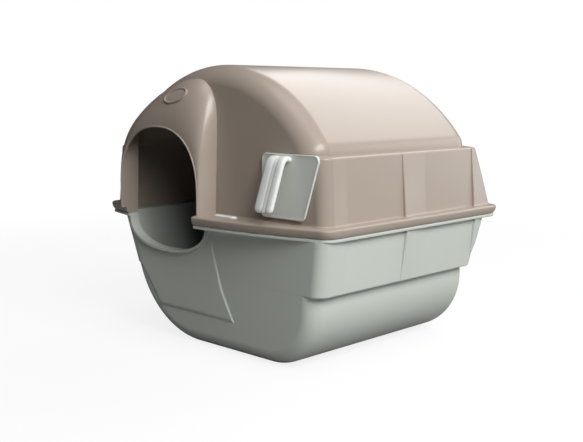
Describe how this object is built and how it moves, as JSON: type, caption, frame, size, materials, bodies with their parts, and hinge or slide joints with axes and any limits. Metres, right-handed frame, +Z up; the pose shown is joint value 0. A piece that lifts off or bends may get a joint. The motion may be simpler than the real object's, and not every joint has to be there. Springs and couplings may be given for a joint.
{
  "type": "covered roll-over litter box",
  "caption": "Covered cat litter box with an arched roof, hooded front entry, inner sifting grille and pull-out waste tray; the cover lifts off a rounded base held by swing latches",
  "frame": {"origin": "middle of the rim's two straight sides in plan, on the floor", "axes": "+X is to the right of the entry, +Y runs from the entry to the back, +Z is up"},
  "size_m": [0.49, 0.4418, 0.411],
  "materials": {
    "taupe_plastic": "moulded, semi-gloss warm grey",
    "sage_plastic": "moulded, semi-gloss pale grey green",
    "pale_plastic": "moulded, semi-gloss off-white",
    "pin_steel": "drawn steel pin"
  },
  "bodies": {
    "base": {"lower_shell": "sage_plastic", "latch_pin_left_front": "pin_steel", "latch_pin_left_rear": "pin_steel", "latch_pin_rear": "pin_steel"},
    "cover": {"upper_shell": "taupe_plastic", "entry_badge": "taupe_plastic", "front_tab": "pale_plastic", "filter_grille": "sage_plastic", "grille_rail_front": "taupe_plastic", "grille_rail_rear": "taupe_plastic", "tray_guide": "taupe_plastic"},
    "tray": {"waste_tray": "sage_plastic", "tray_face": "sage_plastic", "tray_grip": "pale_plastic"},
    "left_front_latch": {"latch_left_front": "pale_plastic"},
    "left_rear_latch": {"latch_left_rear": "pale_plastic"},
    "rear_latch": {"latch_rear": "pale_plastic"}
  },
  "joints": [
    {"name": "cover_lift", "type": "slide", "parent": "base", "child": "cover", "axis": [0, 0, 1], "range_m": [0, 0.045]},
    {"name": "tray_slide", "type": "slide", "parent": "cover", "child": "tray", "axis": [0, -1, 0], "range_m": [0, 0.28]},
    {"name": "left_front_latch_pivot", "type": "hinge", "parent": "base", "child": "left_front_latch", "pos_m": [-0.2415, -0.07, 0.176], "axis": [0, -1, 0], "range_deg": [0, 110]},
    {"name": "left_rear_latch_pivot", "type": "hinge", "parent": "base", "child": "left_rear_latch", "pos_m": [-0.2415, 0.095, 0.176], "axis": [0, -1, 0], "range_deg": [0, 110]},
    {"name": "rear_latch_pivot", "type": "hinge", "parent": "base", "child": "rear_latch", "pos_m": [0, 0.2025, 0.176], "axis": [-1, 0, 0], "range_deg": [0, 110]}
  ],
  "couplings": [
    {"joint": "left_front_latch_pivot", "follows": "cover_lift", "rad_per_m": 40},
    {"joint": "left_rear_latch_pivot", "follows": "cover_lift", "rad_per_m": 40},
    {"joint": "rear_latch_pivot", "follows": "cover_lift", "rad_per_m": 40}
  ]
}
